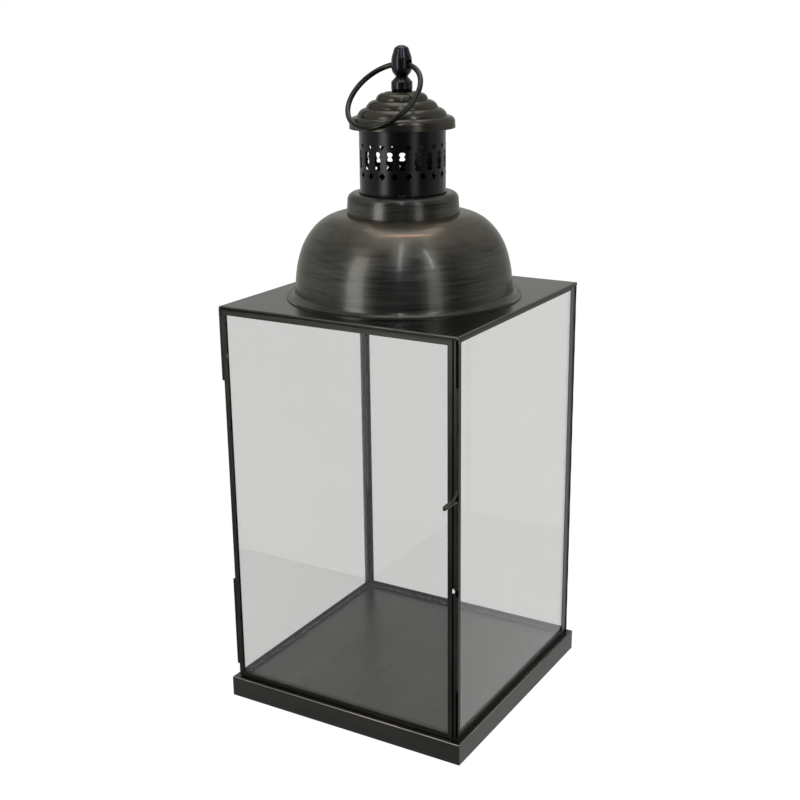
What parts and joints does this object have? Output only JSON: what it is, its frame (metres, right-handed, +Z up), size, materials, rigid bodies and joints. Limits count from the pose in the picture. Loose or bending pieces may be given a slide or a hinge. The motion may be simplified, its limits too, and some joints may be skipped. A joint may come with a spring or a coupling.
{
  "type": "candle lantern",
  "caption": "Tall square glazed candle lantern with a hinged front door, a domed top with a pierced chimney and stepped cap, and a carrying ring.",
  "frame": {"origin": "centre of the base's underside, on the surface that the lantern stands on", "axes": "+Z up along the axis of dome, chimney and finial; the hinged door faces -Y; +X is to the right of somebody facing the door"},
  "size_m": [0.25, 0.2685, 0.6103],
  "materials": {
    "sheet_metal": "antique dark bronze, brushed, satin",
    "spun_metal": "antique dark bronze, spun brushing, satin gloss",
    "chimney_black": "satin black",
    "ring_steel": "dark, satin gloss",
    "door_wire": "dark, satin",
    "solder": "dull tinned solder",
    "plain_steel": "plain, dull",
    "clear_glass": "clear, polished"
  },
  "bodies": {
    "lantern": {"back_bottom_rail": "sheet_metal", "back_glass": "clear_glass", "back_left_stile": "sheet_metal", "back_top_rail": "sheet_metal", "base_bottom_sheet": "plain_steel", "base_pan": "sheet_metal", "cap": "spun_metal", "chimney": "chimney_black", "chimney_bridge": "plain_steel", "chimney_seam_strip": "chimney_black", "dome": "spun_metal", "finial": "chimney_black", "finial_stud": "plain_steel", "left_bottom_rail": "sheet_metal", "left_front_stile": "sheet_metal", "left_glass": "clear_glass", "left_rear_stile": "sheet_metal", "left_top_rail": "sheet_metal", "lower_frame_knuckle": "sheet_metal", "lower_hinge_pin": "plain_steel", "right_bottom_rail": "sheet_metal", "right_front_stile": "sheet_metal", "right_glass": "clear_glass", "right_rear_stile": "sheet_metal", "right_top_rail": "sheet_metal", "stud_nut": "plain_steel", "top_plate": "sheet_metal", "upper_frame_knuckle": "sheet_metal", "upper_hinge_pin": "plain_steel"},
    "door": {"door_bottom_rail": "sheet_metal", "door_edge_strip": "sheet_metal", "door_glass": "clear_glass", "door_hinge_stile": "sheet_metal", "door_latch_stile": "sheet_metal", "door_lower_wire": "door_wire", "door_pull_wire": "door_wire", "door_top_rail": "sheet_metal", "door_wire_solder": "solder", "lower_door_knuckle": "sheet_metal", "upper_door_knuckle": "sheet_metal"},
    "ring": {"carry_ring": "ring_steel"}
  },
  "joints": [
    {"name": "door_swing", "type": "hinge", "parent": "lantern", "child": "door", "pos_m": [-0.1215, -0.118, 0.2], "axis": [0, 0, -1], "range_deg": [0, 220]},
    {"name": "ring_swing", "type": "hinge", "parent": "lantern", "child": "ring", "pos_m": [0, 0, 0.5945], "axis": [-0.9877, 0.1564, 0], "range_deg": [0, 272]}
  ]
}
